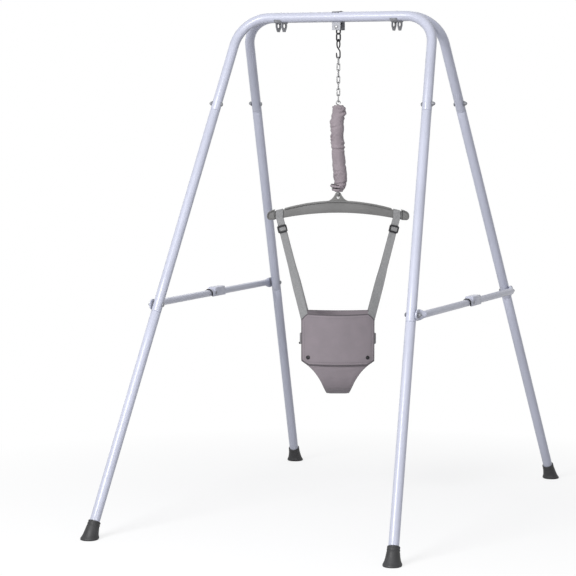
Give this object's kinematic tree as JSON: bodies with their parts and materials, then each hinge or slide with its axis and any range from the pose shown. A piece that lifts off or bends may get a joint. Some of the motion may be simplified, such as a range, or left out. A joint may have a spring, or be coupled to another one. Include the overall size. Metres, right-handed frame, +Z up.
{
  "type": "baby jumper with stand",
  "caption": "Folding tubular A-frame stand with a cloth bucket seat hung on straps, a hanger bar, a spring in a fabric sleeve and a short chain.",
  "frame": {"origin": "on the floor, under the middle of the stand", "axes": "+Z up, the front frame towards -Y, X along the top tubes"},
  "size_m": [0.8258, 1.3194, 1.2859],
  "materials": {
    "powder_coat": "semi-gloss pale lavender grey powder coat",
    "zinc_plate": "dull zinc plate",
    "bright_steel": "bright nickel-plated wire",
    "black_steel": "black coated wire",
    "black_rubber": "matt",
    "black_plastic": "moulded, low gloss",
    "grey_plastic": "moulded, satin",
    "grey_webbing": "woven webbing",
    "sleeve_cloth": "gathered soft cloth",
    "seat_cloth": "quilted cloth with dark piping"
  },
  "bodies": {
    "stand": {"front_rail": "powder_coat", "front_left_middle_tube": "powder_coat", "front_right_middle_tube": "powder_coat", "front_left_lower_tube": "powder_coat", "front_right_lower_tube": "powder_coat", "front_left_foot": "black_rubber", "front_right_foot": "black_rubber", "front_left_leg_bolt": "zinc_plate", "front_right_leg_bolt": "zinc_plate", "front_left_brace_bolt": "zinc_plate", "front_right_brace_bolt": "zinc_plate", "hanger_bracket": "zinc_plate", "top_saddle": "zinc_plate", "clamp_bolt": "zinc_plate", "hanger_pin": "bright_steel", "left_eye_bracket": "zinc_plate", "right_eye_bracket": "zinc_plate", "left_eye_bolt": "zinc_plate", "right_eye_bolt": "zinc_plate"},
    "rear_frame": {"rear_rail": "powder_coat", "rear_left_middle_tube": "powder_coat", "rear_right_middle_tube": "powder_coat", "rear_left_lower_tube": "powder_coat", "rear_right_lower_tube": "powder_coat", "rear_left_foot": "black_rubber", "rear_right_foot": "black_rubber", "rear_left_leg_bolt": "zinc_plate", "rear_right_leg_bolt": "zinc_plate", "rear_left_brace_bolt": "zinc_plate", "rear_right_brace_bolt": "zinc_plate"},
    "brace_front_left": {"left_brace_front": "powder_coat"},
    "brace_rear_left": {"left_brace_rear": "powder_coat", "left_brace_pin": "zinc_plate", "left_brace_rear_nut": "zinc_plate"},
    "brace_front_right": {"right_brace_front": "powder_coat"},
    "brace_rear_right": {"right_brace_rear": "powder_coat", "right_brace_pin": "zinc_plate", "right_brace_rear_nut": "zinc_plate"},
    "swing_link": {"figure_eight_link": "black_steel"},
    "swing_hook": {"s_hook": "black_steel"},
    "chain_1": {"chain_link_1": "bright_steel"},
    "chain_2": {"chain_link_2": "bright_steel"},
    "chain_3": {"chain_link_3": "bright_steel"},
    "chain_4": {"chain_link_4": "bright_steel"},
    "chain_5": {"chain_link_5": "bright_steel"},
    "chain_6": {"chain_link_6": "bright_steel"},
    "chain_7": {"chain_link_7": "bright_steel"},
    "spring_unit": {"spring": "bright_steel", "spring_sleeve": "sleeve_cloth"},
    "bounce_ring": {"spring_ring": "bright_steel"},
    "hanger": {"hanger_bar": "grey_plastic", "left_strap": "grey_webbing", "right_strap": "grey_webbing", "seat": "seat_cloth"},
    "adjuster_left": {"left_strap_adjuster": "black_plastic"},
    "adjuster_right": {"right_strap_adjuster": "black_plastic"},
    "chest_flap": {"chest_flap": "seat_cloth", "left_press_stud": "black_plastic", "right_press_stud": "black_plastic"}
  },
  "joints": [
    {"name": "frame_fold", "type": "hinge", "parent": "stand", "child": "rear_frame", "pos_m": [0, 0.0155, 1.27], "axis": [1, 0, 0], "range_deg": [-42.5, 0]},
    {"name": "brace_fold_left", "type": "hinge", "parent": "stand", "child": "brace_front_left", "pos_m": [-0.35873, -0.36891, 0.549], "axis": [1, 0, 0], "range_deg": [0, 59.8]},
    {"name": "brace_knee_left", "type": "hinge", "parent": "brace_front_left", "child": "brace_rear_left", "pos_m": [-0.35873, 0, 0.549], "axis": [1, 0, 0], "range_deg": [-154.2, 0]},
    {"name": "brace_fold_right", "type": "hinge", "parent": "stand", "child": "brace_front_right", "pos_m": [0.35873, -0.36891, 0.549], "axis": [1, 0, 0], "range_deg": [0, 59.8]},
    {"name": "brace_knee_right", "type": "hinge", "parent": "brace_front_right", "child": "brace_rear_right", "pos_m": [0.35873, 0, 0.549], "axis": [1, 0, 0], "range_deg": [-154.2, 0]},
    {"name": "swing_sideways", "type": "hinge", "parent": "stand", "child": "swing_link", "pos_m": [0, 0, 1.2445], "axis": [0, 1, 0], "range_deg": [-12, 12]},
    {"name": "swing_fore_aft", "type": "hinge", "parent": "swing_link", "child": "swing_hook", "pos_m": [0, 0, 1.2091], "axis": [1, 0, 0], "range_deg": [-15, 15]},
    {"name": "swivel", "type": "hinge", "parent": "swing_hook", "child": "spring_unit", "pos_m": [0, 0, 1.0562], "axis": [0, 0, 1], "range_deg": [-60, 60]},
    {"name": "chain_turn_1", "type": "hinge", "parent": "swing_hook", "child": "chain_1", "pos_m": [0, 0, 1.1585], "axis": [0, 0, 1], "range_deg": [-8, 8]},
    {"name": "chain_turn_2", "type": "hinge", "parent": "swing_hook", "child": "chain_2", "pos_m": [0, 0, 1.1425], "axis": [0, 0, 1], "range_deg": [-15.5, 15.5]},
    {"name": "chain_turn_3", "type": "hinge", "parent": "swing_hook", "child": "chain_3", "pos_m": [0, 0, 1.1265], "axis": [0, 0, 1], "range_deg": [-23, 23]},
    {"name": "chain_turn_4", "type": "hinge", "parent": "swing_hook", "child": "chain_4", "pos_m": [0, 0, 1.1105], "axis": [0, 0, 1], "range_deg": [-30.5, 30.5]},
    {"name": "chain_turn_5", "type": "hinge", "parent": "swing_hook", "child": "chain_5", "pos_m": [0, 0, 1.0945], "axis": [0, 0, 1], "range_deg": [-38, 38]},
    {"name": "chain_turn_6", "type": "hinge", "parent": "swing_hook", "child": "chain_6", "pos_m": [0, 0, 1.0785], "axis": [0, 0, 1], "range_deg": [-45.5, 45.5]},
    {"name": "chain_turn_7", "type": "hinge", "parent": "swing_hook", "child": "chain_7", "pos_m": [0, 0, 1.0625], "axis": [0, 0, 1], "range_deg": [-53, 53]},
    {"name": "bounce", "type": "slide", "parent": "spring_unit", "child": "bounce_ring", "axis": [0, 0, -1], "range_m": [0, 0.12], "stiffness_N_per_m": 1000, "springref_m": -0.02, "deforming": ["spring", "spring_sleeve"]},
    {"name": "hanger_tilt", "type": "hinge", "parent": "bounce_ring", "child": "hanger", "pos_m": [0, 0, 0.808], "axis": [-0.3714, 0.9285, 0], "range_deg": [-15, 15]},
    {"name": "adjuster_slide_left", "type": "slide", "parent": "hanger", "child": "adjuster_left", "axis": [-0.2803, 0.0553, 0.9583], "range_m": [-0.045, 0.012]},
    {"name": "adjuster_slide_right", "type": "slide", "parent": "hanger", "child": "adjuster_right", "axis": [0.1649, 0.2334, 0.9583], "range_m": [-0.045, 0.012]},
    {"name": "flap_lift", "type": "hinge", "parent": "hanger", "child": "chest_flap", "pos_m": [0.02479, -0.06198, 0.511], "axis": [-0.9285, -0.3714, 0], "range_deg": [0, 100]}
  ],
  "couplings": [
    {"joint": "brace_fold_left", "follows": "frame_fold", "ratio": -1.4045},
    {"joint": "brace_fold_right", "follows": "frame_fold", "ratio": -1.4045},
    {"joint": "brace_knee_left", "follows": "frame_fold", "ratio": 3.6257},
    {"joint": "brace_knee_right", "follows": "frame_fold", "ratio": 3.6257},
    {"joint": "chain_turn_1", "follows": "swivel", "ratio": 0.125},
    {"joint": "chain_turn_2", "follows": "swivel", "ratio": 0.25},
    {"joint": "chain_turn_3", "follows": "swivel", "ratio": 0.375},
    {"joint": "chain_turn_4", "follows": "swivel", "ratio": 0.5},
    {"joint": "chain_turn_5", "follows": "swivel", "ratio": 0.625},
    {"joint": "chain_turn_6", "follows": "swivel", "ratio": 0.75},
    {"joint": "chain_turn_7", "follows": "swivel", "ratio": 0.875}
  ]
}
